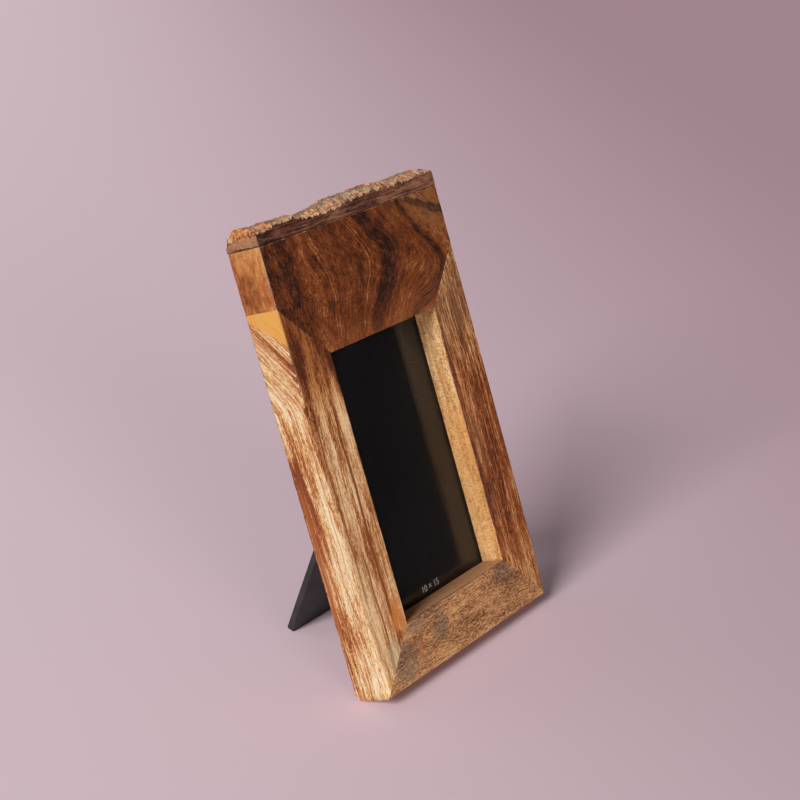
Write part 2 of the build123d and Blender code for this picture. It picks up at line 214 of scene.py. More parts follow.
# Millimetres on the surround: u across from the middle, v up the face, d out from the back
millimetre = 0.001
face_lean = 19
back_edge = Vector((0, -0.028831, -0.000813))
frame_width = 149
stile_width = 29.5
bottom_rail_width = 30
sight_height = 141
rail_thickness = 21
rebate_width = 6.5
rebate_depth = 7
front_arris = 0.5
back_arris = 0.6
sight_arris = 0.5
foot_front = 1.5
foot_back = 3
back_clearance = 0.06
joint_ease = 0.12
corner_round = 1
corner_wear = 2.6
worn_reach = 6
arris_wear = 1.2
foot_wear, foot_wear_height = 2, 34
moulding_rub, moulding_swell = 0.35, 0.03
rub_base, rub_scale, rub_fractal = 0.45, 0.16, (0.6, 2.1, 4)
swell_scale, swell_place = 0.045, Vector((7, 3, 1))
arris_slope = 0.12
lip_guard = 0.6
cut_spacing = 2.5
side_cuts = [0.3, 0.7, 1.1, 1.6, 2.1, 3.2, 4]
back_cuts = [0.4, 0.8, 1.3, 1.9, 2.5, 3.2, 4.1, 5.2]
front_cuts = [0.3, 0.7, 1.1, 1.6, 2.2, 2.9, 3.7]
end_cut_count, end_cut_spacing = 12, 0.45
half_width = frame_width / 2
sight_half_width = half_width - stile_width
sight_top = bottom_rail_width + sight_height
sight_middle = bottom_rail_width + sight_height / 2
mitre_top = sight_top + stile_width
surround_place = (
    Matrix.Translation(back_edge)
    @ Matrix.Rotation(radians(90 - face_lean), 4, "X")
    @ Matrix.Scale(millimetre, 4)
)


def parted(vector):
    """The three parts of a vector."""
    return put("ShaderNodeSeparateXYZ", {0: vector}).outputs


def joined(*parts):
    """A vector from its parts."""
    return put("ShaderNodeCombineXYZ", dict(enumerate(parts))).outputs[0]


def plank_place():
    """Place on the surround in millimetres, for a material."""
    unplace = surround_place.inverted()
    return put("ShaderNodeMapping", {
        "Vector": put("ShaderNodeTexCoord").outputs["Object"],
        "Location": unplace.translation,
        "Rotation": unplace.to_euler(),
        "Scale": (1 / millimetre,) * 3,
    }).outputs[0]


def tally(start, *parts):
    """A starting value with each part added at its own weight."""
    total = start
    for value, weight in parts:
        total = sums("MULTIPLY_ADD", value, weight, total)
    return total


def figured(grain, bands, streaks, fibres, clouds, *parts):
    """The figure of a board from its grain, at the given weights."""
    return tally(
        0, (grain["Bands"], bands), (grain["Streaks"], streaks), (grain["Fibres"], fibres),
        (grain["Clouds"], clouds), *parts)


def ridge(value, centre, reach):
    """One at a centre, falling smoothly to nothing at a reach on both sides."""
    return fade(sums("ABSOLUTE", sums("SUBTRACT", value, centre)), reach, 0)


def within(value, start, end, soft):
    """One between two ends, with a soft change at each."""
    return both(fade(value, start - soft, start + soft), fade(value, end + soft, end - soft))


def spots(place, stretch, start, end, detail=3, rough=0.6, wander=0):
    """Speckle brought out between two of its levels."""
    return fade(speckle(place, stretch, detail, rough, wander), start, end)


def new_group(name, takes, gives):
    """A shader node group with its inputs and outputs. Its tree becomes the tree in hand."""
    global tree
    tree = bpy.data.node_groups.new(name, "ShaderNodeTree")
    for label, value in takes.items():
        kind = "NodeSocketVector" if isinstance(value, tuple) else "NodeSocketFloat"
        tree.interface.new_socket(label, in_out="INPUT", socket_type=kind).default_value = value
    for label in gives:
        tree.interface.new_socket(label, in_out="OUTPUT", socket_type="NodeSocketFloat")
    return tree, put("NodeGroupInput").outputs, put("NodeGroupOutput")


# Grain of a sawn board, from a place in millimetres whose first direction follows it
sawn_grain, takes, result = new_group(
    "sawn_grain", {"Place": (0, 0, 0), "Wander": 3}, ["Bands", "Streaks", "Fibres", "Pores", "Clouds"])
along, across, deep = parted(takes["Place"])
drift = sums("SUBTRACT", speckle(takes["Place"], (45, 30, 30), 1), 0.5)
grain_place = joined(along, sums("MULTIPLY_ADD", drift, takes["Wander"], across), deep)
feed(result, {
    "Bands": spots(grain_place, (130, 5, 6), 0.36, 0.64, 2, 0.55),
    "Streaks": spots(grain_place, (20, 1.3, 1.5), 0.35, 0.65, 3, 0.62),
    "Fibres": spots(grain_place, (4.4, 0.55, 0.6), 0.35, 0.65, 3, 0.65),
    "Pores": spots(grain_place, (2.8, 0.5, 0.5), 0.6, 0.7, 1, 0.5),
    "Clouds": spots(takes["Place"], (30, 13, 13), 0.34, 0.66, 3, 0.55)})

# A line of dark or pale grain that wanders up a board between two heights
line_end_fade = 14
grain_line, takes, result = new_group(
    "grain_line",
    {"Across": 0, "Along": 0, "Centre": 0, "Width": 1, "Wobble": 2, "Start": 0, "End": 100}, ["Mask"])
wave = put("ShaderNodeTexNoise", {
    "W": sums("MULTIPLY_ADD", takes["Along"], 0.022, takes["Centre"]), "Scale": 1, "Detail": 2},
    noise_dimensions="1D").outputs[0]
bend = both(sums("SUBTRACT", wave, 0.5), takes["Wobble"])
offset = sums("SUBTRACT", sums("SUBTRACT", takes["Across"], takes["Centre"]), bend)
near = sums("DIVIDE", sums("ABSOLUTE", offset), takes["Width"])
in_run = both(
    fade(sums("SUBTRACT", takes["Along"], takes["Start"]), 0, line_end_fade),
    fade(sums("SUBTRACT", takes["End"], takes["Along"]), 0, line_end_fade))
feed(result, {"Mask": both(fade(near, 1, 0.4), in_run)})

# A cloudy patch of another tone with a ragged rim
tone_patch, takes, result = new_group(
    "tone_patch",
    {"Place": (0, 0, 0), "Centre": (0, 0, 0), "Reach": (10, 10, 40), "Ragged": 0.5}, ["Mask"])
offset = vectors("SUBTRACT", takes["Place"], takes["Centre"])[0]
spread = vectors("LENGTH", vectors("DIVIDE", offset, takes["Reach"])[0])["Value"]
rim = sums("SUBTRACT", speckle(takes["Place"], (7, 7, 7), 4, 0.6), 0.5)
feed(result, {"Mask": fade(sums("MULTIPLY_ADD", rim, takes["Ragged"], spread), 1, 0.55)})


def use(group, **feeds):
    """Places a node group in a material and returns its outputs."""
    return put("ShaderNodeGroup", node_tree=group, feeds=feeds).outputs


def patch(place, centre, reach, ragged):
    """Mask of a cloudy patch."""
    return use(tone_patch, Place=place, Centre=centre, Reach=reach, Ragged=ragged)["Mask"]


def ruled(colour, tint, across, along, broken, lines):
    """Draws grain lines, from rows of centre, width, wobble, start, end and share."""
    for centre, width, wobble, start, end, share in lines:
        line = use(
            grain_line, Across=across, Along=along, Centre=centre, Width=width, Wobble=wobble,
            Start=start, End=end)
        colour = blend(both(line["Mask"], broken, share), colour, tint)
    return colour


def toned(value, stops):
    """Colour read off rows of position, red, green and blue that run from dark to pale."""
    node = put("ShaderNodeValToRGB", {0: value})
    elements = node.color_ramp.elements
    for element, (position, *colour) in zip(elements, (stops[0], stops[-1])):
        element.position, element.color = position, (*colour, 1)
    for position, *colour in stops[1:-1]:
        elements.new(position).color = (*colour, 1)
    return node.outputs[0]


def wood_surface(shader, colour, grain):
    """Oiled wood: the given colour, with pores and fibres that break its sheen."""
    feed(shader, {
        "Base Color": colour, "Specular IOR Level": 0.22,
        "Roughness": tally(0.5, (grain["Fibres"], 0.14), (grain["Pores"], 0.2)),
        "Normal": relief(0.5, 0.0001, tally(grain["Fibres"], (grain["Pores"], -0.9)))})


def weathered(bm, rub, swell):
    """Rubs the arrises of a board unevenly and leaves its faces very slightly wavy."""
    bm.normal_update()
    moves = []
    for vert in bm.verts:
        square_on = max(abs(vert.normal.x), abs(vert.normal.y), abs(vert.normal.z))
        edge_share = min(1, (1 - square_on) / arris_slope)
        worn = max(0, rub_base + noise.fractal(vert.co * rub_scale, *rub_fractal)) * rub * edge_share
        if abs(vert.co.z - rebate_depth) < lip_guard:
            worn = 0
        wave = noise.noise(vert.co * swell_scale + swell_place) * swell
        moves.append((vert, vert.normal * (min(0, wave - swell) - worn)))
    for vert, move in moves:
        vert.co += move


def steps(start, end, spacing):
    """Evenly spaced places strictly between two ends."""
    count = int((end - start) / spacing)
    return [start + (end - start) * i / count for i in range(1, count)]


def cut_across(bm, axis, places):
    """Adds edge loops square to an axis."""
    normal = Vector((0, 0, 0))
    normal[axis] = 1
    for place in places:
        geometry = bm.verts[:] + bm.edges[:] + bm.faces[:]
        bmesh.ops.bisect_plane(bm, geom=geometry, plane_co=normal * place, plane_no=normal)


def edges_at(bm, places):
    """Edges on the line where the given axes keep the given places."""
    return [
        edge for edge in bm.edges
        if all(abs(vert.co[axis] - place) < 1e-3 for vert in edge.verts for axis, place in places.items())]


def eased(bm, edges, radius, segments, clamped=False):
    """Bevels some edges."""
    bmesh.ops.bevel(
        bm, geom=edges, offset=radius, offset_type="OFFSET", affect="EDGES", segments=segments,
        profile=0.5, material=-1, clamp_overlap=clamped)


def sawn_off(bm, outer, inner, keep):
    """Saws a board along the line between two corners and eases the sawn rim."""
    start, end = Vector((*outer, 0)), Vector((*inner, 0))
    normal = (end - start).cross(Vector((0, 0, 1))).normalized()
    if normal.dot(Vector((*keep, 0)) - start) > 0:
        normal.negate()
    geometry = bm.verts[:] + bm.edges[:] + bm.faces[:]
    cut = bmesh.ops.bisect_plane(
        bm, geom=geometry, plane_co=start, plane_no=normal, clear_outer=True, dist=1e-5)
    rim = [part for part in cut["geom_cut"] if isinstance(part, bmesh.types.BMEdge)]
    bmesh.ops.holes_fill(bm, edges=rim, sides=0)
    eased(bm, [edge for edge in rim if edge.is_valid], joint_ease, 1, clamped=True)


def rebated_board(width, length, mirrored=1, start=0):
    """The moulding's section drawn out to a length, from its outer edge inwards."""
    bm = bmesh.new()
    corners = [
        (0, back_clearance), (width - rebate_width, back_clearance),
        (width - rebate_width, rebate_depth), (width, rebate_depth),
        (width, rail_thickness), (0, rail_thickness),
    ]
    section = bm.faces.new([bm.verts.new((start + mirrored * x, 0, z)) for x, z in corners])
    grown = bmesh.ops.extrude_face_region(bm, geom=[section])
    moved = [part for part in grown["geom"] if isinstance(part, bmesh.types.BMVert)]
    bmesh.ops.translate(bm, verts=moved, vec=(0, length, 0))
    return bm


def moulding(width, length, outer_back, outer_front):
    """A length of moulding with its arrises rounded and its faces cut up finely."""
    bm = rebated_board(width, length)
    bmesh.ops.recalc_face_normals(bm, faces=bm.faces[:])
    eased(bm, edges_at(bm, {0: 0, 2: rail_thickness}), outer_front, 4)
    eased(bm, edges_at(bm, {0: 0, 2: back_clearance}), outer_back, 5)
    eased(bm, edges_at(bm, {0: width, 2: rail_thickness}), sight_arris, 3)
    cut_across(bm, 0, steps(0, width, cut_spacing) + side_cuts)
    cut_across(bm, 2, steps(rebate_depth, rail_thickness - foot_front, cut_spacing) + back_cuts)
    cut_across(bm, 2, [rail_thickness - cut for cut in front_cuts])
    end_cuts = [i * end_cut_spacing for i in range(1, end_cut_count + 1)]
    near_ends = [place for cut in end_cuts for place in (cut, length - cut)]
    cut_across(bm, 1, steps(0, length, cut_spacing) + near_ends)
    return bm


def kept_round(vert, axes, centre, outward, radius):
    """Brings a point that stands out past a round corner back onto its curve."""
    reach = Vector([vert.co[axis] for axis in axes]) - centre
    if all(part * way > 0 for part, way in zip(reach, outward)) and reach.length > radius:
        for axis, place in zip(axes, centre + reach * radius / reach.length):
            vert.co[axis] = place


def softened_arris(bm):
    """Rounds a stile's outer front arris more and more towards the foot."""
    for vert in bm.verts:
        side = 1 if vert.co.x > 0 else -1
        radius = front_arris + arris_wear * max(0, 1 - vert.co.y / sight_top)
        radius += foot_wear * max(0, 1 - vert.co.y / foot_wear_height)
        centre = Vector((side * (half_width - radius), rail_thickness - radius))
        kept_round(vert, (0, 2), centre, (side, 1), radius)


def rounded_foot(bm):
    """Rounds off the surround's foot, front and back, and its two lower corners."""
    for vert in bm.verts:
        near_corner = max(0, 1 - (half_width - abs(vert.co.x)) / worn_reach) ** 2
        for depth, radius in (
                (back_clearance, foot_back + corner_wear * near_corner), (rail_thickness, foot_front)):
            inward = 1 if depth < foot_front else -1
            kept_round(vert, (1, 2), Vector((radius, depth + inward * radius)), (-1, -inward), radius)
    for vert in bm.verts:
        side = 1 if vert.co.x > 0 else -1
        centre = Vector((side * (half_width - corner_round), corner_round))
        kept_round(vert, (0, 1), centre, (side, -1), corner_round)


def turned(bm, matrix):
    """Moves a piece by a matrix and faces it outwards."""
    bmesh.ops.transform(bm, matrix=matrix, verts=bm.verts[:])
    bmesh.ops.recalc_face_normals(bm, faces=bm.faces[:])


def finished(bm, name, material, nodes, body="surround", place=surround_place, smooth_angle=28):
    """Sets a piece in its place, and hands it over with its material and body."""
    turned(bm, place)
    for face in bm.faces:
        face.smooth = True
    data = bpy.data.meshes.new(name)
    bm.to_mesh(data)
    bm.free()
    data.set_sharp_from_angle(angle=radians(smooth_angle))
    data.materials.append(material)
    piece = shown(name, data)
    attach(piece, body)
    if nodes:
        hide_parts(*nodes)


def stile(side, name, material, node):
    """Makes the stile on one side, sawn off below and above, and hands it over."""
    board = moulding(stile_width, mitre_top + 2 * cut_spacing, back_arris, front_arris)
    bmesh.ops.translate(board, verts=board.verts[:], vec=(-half_width, 0, 0))
    if side > 0:
        turned(board, Matrix.Scale(-1, 4, (1, 0, 0)))
    weathered(board, moulding_rub, moulding_swell)
    softened_arris(board)
    rounded_foot(board)
    for outer_height, inner_height in ((0, bottom_rail_width), (mitre_top, sight_top)):
        sawn_off(
            board, (side * half_width, outer_height), (side * sight_half_width, inner_height),
            (side * half_width, sight_middle))
    finished(board, name, material, [node])


honey_tones = (
    (0, 0.078, 0.02, 0.007), (0.15, 0.185, 0.046, 0.012), (0.3, 0.345, 0.106, 0.027),
    (0.45, 0.47, 0.19, 0.059), (0.6, 0.59, 0.298, 0.115), (0.8, 0.7, 0.42, 0.19),
    (1, 0.83, 0.58, 0.32),
)
side_tones = (
    (0, 0.14, 0.03, 0.008), (0.15, 0.25, 0.066, 0.017), (0.35, 0.365, 0.135, 0.036),
    (0.5, 0.45, 0.218, 0.076), (0.75, 0.535, 0.35, 0.165), (1, 0.615, 0.5, 0.33),
)
honey_red = (0.21, 0.052, 0.012)
side_red = (0.25, 0.07, 0.02)
honey_orange = (0.55, 0.185, 0.034)
honey_yellow = (0.52, 0.275, 0.063)
weathered_grey = (0.46, 0.36, 0.24)
umber = (0.028, 0.014, 0.011)
sweep_start, sweep_ease = 148, 14
grain_pull = (0.55, 1.35, 1.35)
front_lines = (
    (-55, 1.25, 5, 8, 158, 1), (-70, 0.9, 3, 40, 158, 0.75),
    (-63, 1, 5, 2, 84, 0.85), (-50, 0.5, 3, 30, 110, 0.55),
    (-66.5, 0.5, 3, 50, 140, 0.55),
)
side_lines = (
    (2.6, 1.5, 3, 26, 120, 0.95), (6.4, 0.9, 3, 34, 104, 0.85),
    (4.4, 0.6, 2, 50, 124, 0.7), (17.6, 0.5, 2, 60, 150, 0.6),
    (10.4, 0.5, 2, 70, 150, 0.55), (13.6, 0.4, 2, 20, 90, 0.45),
)
foot_stains = (
    ((33, -50, 21), (17, 6.5, 30), honey_orange, 1),
    ((26, -52.5, 21), (3.6, 2.4, 30), honey_red, 0.85),
    ((16, -60, 21), (13, 8, 30), weathered_grey, 0.6),
)

honey_stile, shader = new_material("honey_stile")
place = plank_place()
u, v, d = parted(place)
from_side = sums("ADD", u, half_width)
near_front = fade(sums("ADD", from_side, d), rail_thickness + 1.9, rail_thickness - 0.1)
near_back = fade(sums("SUBTRACT", from_side, d), 0.6, -0.4)
on_side = both(near_front, near_back)
lift = sums("MAXIMUM", sums("SUBTRACT", v, sweep_start), 0)
lift = sums("DIVIDE", both(lift, lift), sums("ADD", lift, sweep_ease))
swept = tally(d, (both(on_side, lift), 0.85), (v, 0.05))
run = joined(v, u, swept)
grain = use(sawn_grain, Place=vectors("MULTIPLY", run, grain_pull)[0], Wander=2.4)
specks = spots(run, (2, 0.5, 0.5), 0.36, 0.64, rough=0.65)
figure = tally(
    0, (grain["Bands"], 0.15), (grain["Streaks"], 0.17), (grain["Fibres"], 0.22), (specks, 0.22),
    (grain["Clouds"], 0.26))
figure = fade(figure, 0.24, 0.8, 0.04, 1.12)
darker = fade(figure, 0.9, 0.3)
knotty = both(patch(place, (-72, 173, 21), (6.5, 18, 4), 1.3), darker)
knot = patch(place, (-73.9, 149.5, 21), (1.1, 3.2, 1.8), 0.7)
front_tone = tally(
    fade(v, 134, 164, 0.14, -0.13), (both(figure, fade(v, 134, 164, 0.84, 0.56)), 1),
    (fade(v, 76, 50), 0.16), (fade(v, 154, 188), -0.17),
    (both(fade(tally(u, (specks, 4)), -60, -69), within(v, 132, 186, 14)), -0.16),
    (both(ridge(u, -48.5, 4.5), within(v, 100, 160, 8)), 0.14), (knotty, -0.3), (knot, -1))
side_tone = tally(
    -0.02, (figure, 0.95),
    (both(ridge(tally(d, (grain["Bands"], 3)), 3.5, 7.5), within(v, 14, 126, 14)), -0.46),
    (both(ridge(d, 15.5, 6.5), fade(v, 150, 110)), 0.08),
    (both(ridge(d, 12, 9), within(v, 2, 30, 10)), 0.26),
    # painted shade: the side darkens along its back edge; it is also darker at its very foot
    (fade(d, 1.2, 0.5), -0.3), (fade(v, 4, 0.5), -0.14), (knotty, -0.2), (knot, -1))
broken = fade(grain["Fibres"], 0.1, 0.8, 0.85, 1)
front_colour = ruled(toned(front_tone, honey_tones), honey_red, u, v, broken, front_lines)
streaky = fade(figure, 0.2, 1, 1, 0.45)
for centre, reach, tint, share in foot_stains:
    front_colour = blend(both(patch(run, centre, reach, 0.9), streaky, share), front_colour, tint)
sweep_lines = speckle(joined(swept), (1.1, 1, 1), 1)
sweep = both(fade(sweep_lines, 0.54, 0.66), within(v, 150, 240, 8), fade(figure, 1, 0.3))
side_colour = blend(both(sweep, 0.85), toned(side_tone, side_tones), side_red)
side_colour = ruled(side_colour, side_red, d, v, broken, side_lines)
yellow = blend(both(fade(figure, 0.9, 0.2), 0.45), honey_yellow, honey_orange)
side_colour = blend(fade(tally(v, (d, 0.7)), 196, 198.5), side_colour, yellow)
colour = blend(on_side, front_colour, side_colour)
wood_surface(shader, blend(both(grain["Pores"], 0.34), colour, honey_red), grain)
stile(-1, "left_stile_board", honey_stile, "left_stile")

russet_tones = (
    (0, 0.055, 0.016, 0.008), (0.15, 0.15, 0.032, 0.008), (0.4, 0.287, 0.074, 0.016),
    (0.6, 0.39, 0.123, 0.031), (0.8, 0.49, 0.207, 0.07), (1, 0.62, 0.36, 0.165),
)
wall_tones = (
    (0, 0.3, 0.115, 0.034), (0.2, 0.43, 0.19, 0.063), (0.5, 0.53, 0.275, 0.102),
    (0.8, 0.62, 0.37, 0.165), (1, 0.74, 0.51, 0.27),
)
tan_tones = (
    (0, 0.17, 0.064, 0.022), (0.3, 0.33, 0.145, 0.054), (0.6, 0.5, 0.245, 0.097),
    (1, 0.68, 0.43, 0.2),
)
wall_orange = (0.6, 0.285, 0.078)
purple_brown = (0.085, 0.032, 0.024)
russet_lines = (
    (51.5, 2.4, 5, 52, 118, 0.7), (58, 1.5, 4, 58, 128, 0.55),
    (47, 1.3, 1.5, 40, 170, 0.6), (63.5, 0.8, 3, 80, 150, 0.4),
    (63, 2.6, 4, 138, 184, 0.5),
)

russet_stile, shader = new_material("russet_stile")
place = plank_place()
u, v, d = parted(place)
grain = use(sawn_grain, Place=joined(v, u, d), Wander=3)
figure = figured(grain, 0.24, 0.28, 0.36, 0.2)
dashes = speckle(place, (1.3, 0.85, 1.7), 1)
flecks = fade(dashes, 0.58, 0.68)
glints = fade(dashes, 0.42, 0.32)
tone = tally(
    fade(figure, 0.24, 0.86, 0.04, 0.9),
    (fade(tally(v, (grain["Streaks"], 20)), 134, 172), 0.26),
    (fade(tally(v, (grain["Streaks"], 18)), 58, 36), 0.24),
    (both(ridge(u, 70, 6), within(v, 30, 120, 14)), 0.16),
    (fade(u, 46.4, 45.4), -0.25), (flecks, -0.24), (glints, 0.1))
tan_top = fade(tally(v, (grain["Streaks"], 26), (u, 0.25)), 160, 194)
tan_tone = tally(fade(figure, 0.24, 0.84), (flecks, -0.2))
colour = blend(tan_top, toned(tone, russet_tones), toned(tan_tone, tan_tones))
colour = ruled(colour, purple_brown, u, v, fade(grain["Fibres"], 0.1, 0.8, 0.35, 1), russet_lines)
inner_wall = both(fade(u, 45.3, 45.05), fade(d, 20.7, 20.3))
wall_tone = tally(
    fade(figure, 0.24, 0.88, 0.22, 0.9), (within(v, 55, 112, 12), -0.14), (flecks, -0.5),
    (glints, 0.3), (fade(v, 120, 150), 0.1))
orange_run = both(within(v, 30, 118, 16), fade(grain["Clouds"], 0, 1, 0.12, 0.42))
orange_share = both(orange_run, fade(flecks, 0, 1, 1, 0.4))
colour = blend(inner_wall, colour, blend(orange_share, toned(wall_tone, wall_tones), wall_orange))
wood_surface(shader, blend(both(grain["Pores"], 0.4), colour, purple_brown), grain)
stile(1, "right_stile_board", russet_stile, "right_stile")

# The bottom rail: the same moulding, half a millimetre wider on its face. It is a paler
# board with short flecks, and greyish patches where the mitres meet it.
rail_tones = (
    (0, 0.11, 0.042, 0.019), (0.15, 0.25, 0.103, 0.04), (0.4, 0.385, 0.17, 0.064),
    (0.6, 0.47, 0.218, 0.084), (0.8, 0.555, 0.272, 0.109), (1, 0.69, 0.39, 0.175),
)
grey_tones = ((0, 0.105, 0.058, 0.036), (0.5, 0.185, 0.115, 0.072), (1, 0.28, 0.19, 0.125))
rail_dark = (0.13, 0.06, 0.036)
rail_wall = (0.62, 0.315, 0.155)
grey_patches = (
    ((-21, 19, 20), (8, 11, 30), 0.66), ((-54, 12, 20), (14, 13, 30), 0.62),
    ((-38, 26, 20), (16, 4, 30), 0.55), ((41, 24, 20), (11, 8, 30), 0.62),
)

tan_rail, shader = new_material("tan_rail")
place = plank_place()
u, v, d = parted(place)
grain = use(sawn_grain, Place=place, Wander=3)
flecks = spots(place, (2.6, 0.5, 0.6), 0.36, 0.62, 2, 0.6, 0.4)
figure = figured(grain, 0.12, 0.15, 0.26, 0.2, (flecks, 0.37))
tone = tally(
    fade(figure, 0.26, 0.86),
    (both(ridge(v, 16, 5), within(u, 18, 66, 10), grain["Streaks"]), -0.34),
    (both(fade(v, 3.2, 0.6), fade(d, 14, 18)), 0.18))
colour = toned(tone, rail_tones)
greyed = toned(fade(figure, 0.3, 0.8), grey_tones)
for centre, reach, share in grey_patches:
    colour = blend(both(patch(place, centre, reach, 1.1), share), colour, greyed)
inner_wall = both(fade(v, bottom_rail_width - 0.3, bottom_rail_width - 0.05), fade(d, 20.7, 20.3))
colour = blend(both(inner_wall, fade(figure, 0.3, 0.9, 0.55, 0.9)), colour, rail_wall)
rim = both(ridge(v, bottom_rail_width - 0.4, 0.9), fade(d, 20.3, 20.7))
colour = blend(both(rim, fade(grain["Streaks"], 0, 0.7, 0.3, 0.8)), colour, rail_dark)
wood_surface(shader, blend(both(grain["Pores"], 0.55), colour, rail_dark), grain)

bottom_rail = moulding(bottom_rail_width, frame_width, foot_back, foot_front)
turn_to_rail = Matrix(((0, 1, 0, -half_width), (1, 0, 0, 0), (0, 0, 1, 0), (0, 0, 0, 1)))
turned(bottom_rail, turn_to_rail)
weathered(bottom_rail, moulding_rub, moulding_swell)
softened_arris(bottom_rail)
rounded_foot(bottom_rail)
for side in (-1, 1):
    sawn_off(bottom_rail, (side * half_width, 0), (side * sight_half_width, bottom_rail_width), (0, 0))
finished(bottom_rail, "bottom_rail_board", tan_rail, ["bottom_rail"])

# The top rail: a wide plank of dark heartwood laid across both stiles, with rings that
# curve round to a point on its right. Its lower corners are sawn to meet the stiles.
top_rail_width = 60.5
seam_height = sight_top + top_rail_width
plank_rub, plank_swell = 0.3, 0.04
plank_tones = (
    (0, 0.018, 0.008, 0.006), (0.12, 0.05, 0.014, 0.006), (0.35, 0.12, 0.029, 0.007),
    (0.6, 0.2, 0.05, 0.011), (0.8, 0.29, 0.086, 0.023), (1, 0.46, 0.2, 0.07),
)
end_tones = (
    (0, 0.11, 0.028, 0.007), (0.3, 0.22, 0.06, 0.014), (0.6, 0.32, 0.108, 0.026),
    (1, 0.45, 0.22, 0.072),
)
plank_gold = (0.27, 0.115, 0.04)
plank_rose = (0.265, 0.084, 0.03)
end_grey = (0.25, 0.165, 0.105)
worn_highlight_pale = (0.46, 0.235, 0.115)
ring_start, ring_reach = -80, 160
ring_round, ring_shift = 6, 5.2
ring_tones = (
    (-74, 0.34), (-64, 0.44), (-54, 0.2), (-47, 0.5), (-41, 0.66), (-36, 0.44), (-31.2, 0.36),
    (-30, 0.84), (-29, 0.26), (-27.8, 0.74), (-26.4, 0.38), (-12, 0.46), (-2, 0.34), (3.4, 0.32),
    (4.6, 0.86), (5.8, 0.26), (7, 0.66), (8.2, 0.38), (12.5, 0.44), (16, 0.1), (21.5, 0.05),
    (27, 0.16), (31, 0.4), (34, 0.5), (37.5, 0.34), (39.5, 0.52), (50, 0.54), (57, 0.42),
    (60.5, 0.1), (63.5, 0.08), (66.5, 0.48), (72, 0.66),
)

dark_plank, shader = new_material("dark_plank")
place = plank_place()
u, v, d = parted(place)
grain = use(sawn_grain, Place=place, Wander=3)
apex = sums("SUBTRACT", fade(u, -60, 0, 194, 208), fade(u, 24, 58, 0, 14))
rise = sums("SUBTRACT", v, apex)
bow = sums("SUBTRACT", sums("SQRT", sums("MULTIPLY_ADD", rise, rise, ring_round ** 2)), ring_round)
ring = sums("MULTIPLY_ADD", bow, fade(u, -62, 26, 0.12, 1.12), u)
ring = tally(ring, (speckle(place, (24, 18, 24)), 9), (speckle(place, (3, 4, 4), 3), 1.5))
ring = sums("SUBTRACT", ring, ring_shift)
ring_share = sums("DIVIDE", sums("SUBTRACT", ring, ring_start), ring_reach)
ring_tone = toned(ring_share, [
    ((position - ring_start) / ring_reach, value, value, value) for position, value in ring_tones])
ring_place = joined(ring, v, d)
hairs = spots(ring_place, (0.55, 3.4, 3), 0.34, 0.66, rough=0.65)
wisps = spots(ring_place, (1.9, 15, 8), 0.34, 0.66)
blots = spots(place, (6, 6, 6), 0.34, 0.66)
motes = spots(place, (0.7, 1.1, 1), 0.36, 0.64, 2)
tone = tally(
    -0.56, (ring_tone, 0.96), (hairs, 0.44), (wisps, 0.24), (blots, 0.3), (motes, 0.2),
    (fade(tally(v, (blots, 8)), 192, 172), 0.2), (fade(u, -34, -58), -0.06),
    (fade(u, -56, -70), -0.1), (patch(place, (-70.5, 181, 21), (5.5, 9, 8), 1.4), -0.4))
colour = toned(tone, plank_tones)
golden = both(fade(ring, 60, 78), fade(v, 200, 214), fade(hairs, 0, 1, 0.1, 0.7))
colour = blend(golden, colour, plank_gold)
slanting = ridge(tally(v, (u, 0.43), (blots, 1.6)), 250.4, 4)
slant_band = both(fade(slanting, 0.1, 0.6), fade(u, 34, 48), fade(hairs, 0, 1, 1, 0.6))
colour = blend(both(slant_band, 0.92), colour, umber)
rosy = both(fade(tally(v, (u, -0.24), (blots, 9)), 190, 168), fade(hairs, 0, 1, 0.1, 0.62))
colour = blend(rosy, colour, plank_rose)
colour = blend(both(grain["Pores"], 0.5), colour, umber)
at_end = fade(u, -73.9, -74.3)
end_specks = spots(place, (0.5, 0.6, 0.6), 0.34, 0.66, rough=0.65)
end_blots = spots(place, (4, 5, 1.8), 0.36, 0.64, 4, 0.62)
end_tone = tally(
    -0.04, (blots, 0.22), (end_blots, 0.4), (end_specks, 0.3), (fade(d, 9, 19), 0.2),
    (fade(v, 214, 229), 0.26), (ridge(v, 209, 9), -0.14))
end_rim = both(ridge(d, 20.6, 1.6), fade(blots, 0, 1, 0.15, 0.75))
colour = blend(at_end, colour, blend(end_rim, toned(end_tone, end_tones), end_grey))
# A pale line along the rail's top front arris at the seam: wear, with a painted highlight.
worn_highlight_line = both(
    fade(v, seam_height - 0.5, seam_height - 0.25), fade(wisps, 0.1, 0.7, 0.1, 0.9), fade(d, 20.2, 20.6))
wood_surface(shader, blend(worn_highlight_line, colour, worn_highlight_pale), grain)

top_rail = rebated_board(top_rail_width, frame_width, mirrored=-1, start=seam_height)
turned(top_rail, turn_to_rail)
for side in (-1, 1):
    for depth, radius in ((rail_thickness, front_arris), (back_clearance, back_arris)):
        eased(top_rail, edges_at(top_rail, {0: side * half_width, 2: depth}), radius, 4)
eased(top_rail, edges_at(top_rail, {1: sight_top, 2: rail_thickness}), sight_arris, 3)
cut_across(top_rail, 0, steps(-half_width, half_width, cut_spacing))
cut_across(top_rail, 1, steps(sight_top, seam_height, cut_spacing))
weathered(top_rail, plank_rub, plank_swell)
for side in (-1, 1):
    sawn_off(
        top_rail, (side * half_width, mitre_top), (side * sight_half_width, sight_top), (0, seam_height))
finished(top_rail, "top_rail_plank", dark_plank, ["top_rail"])

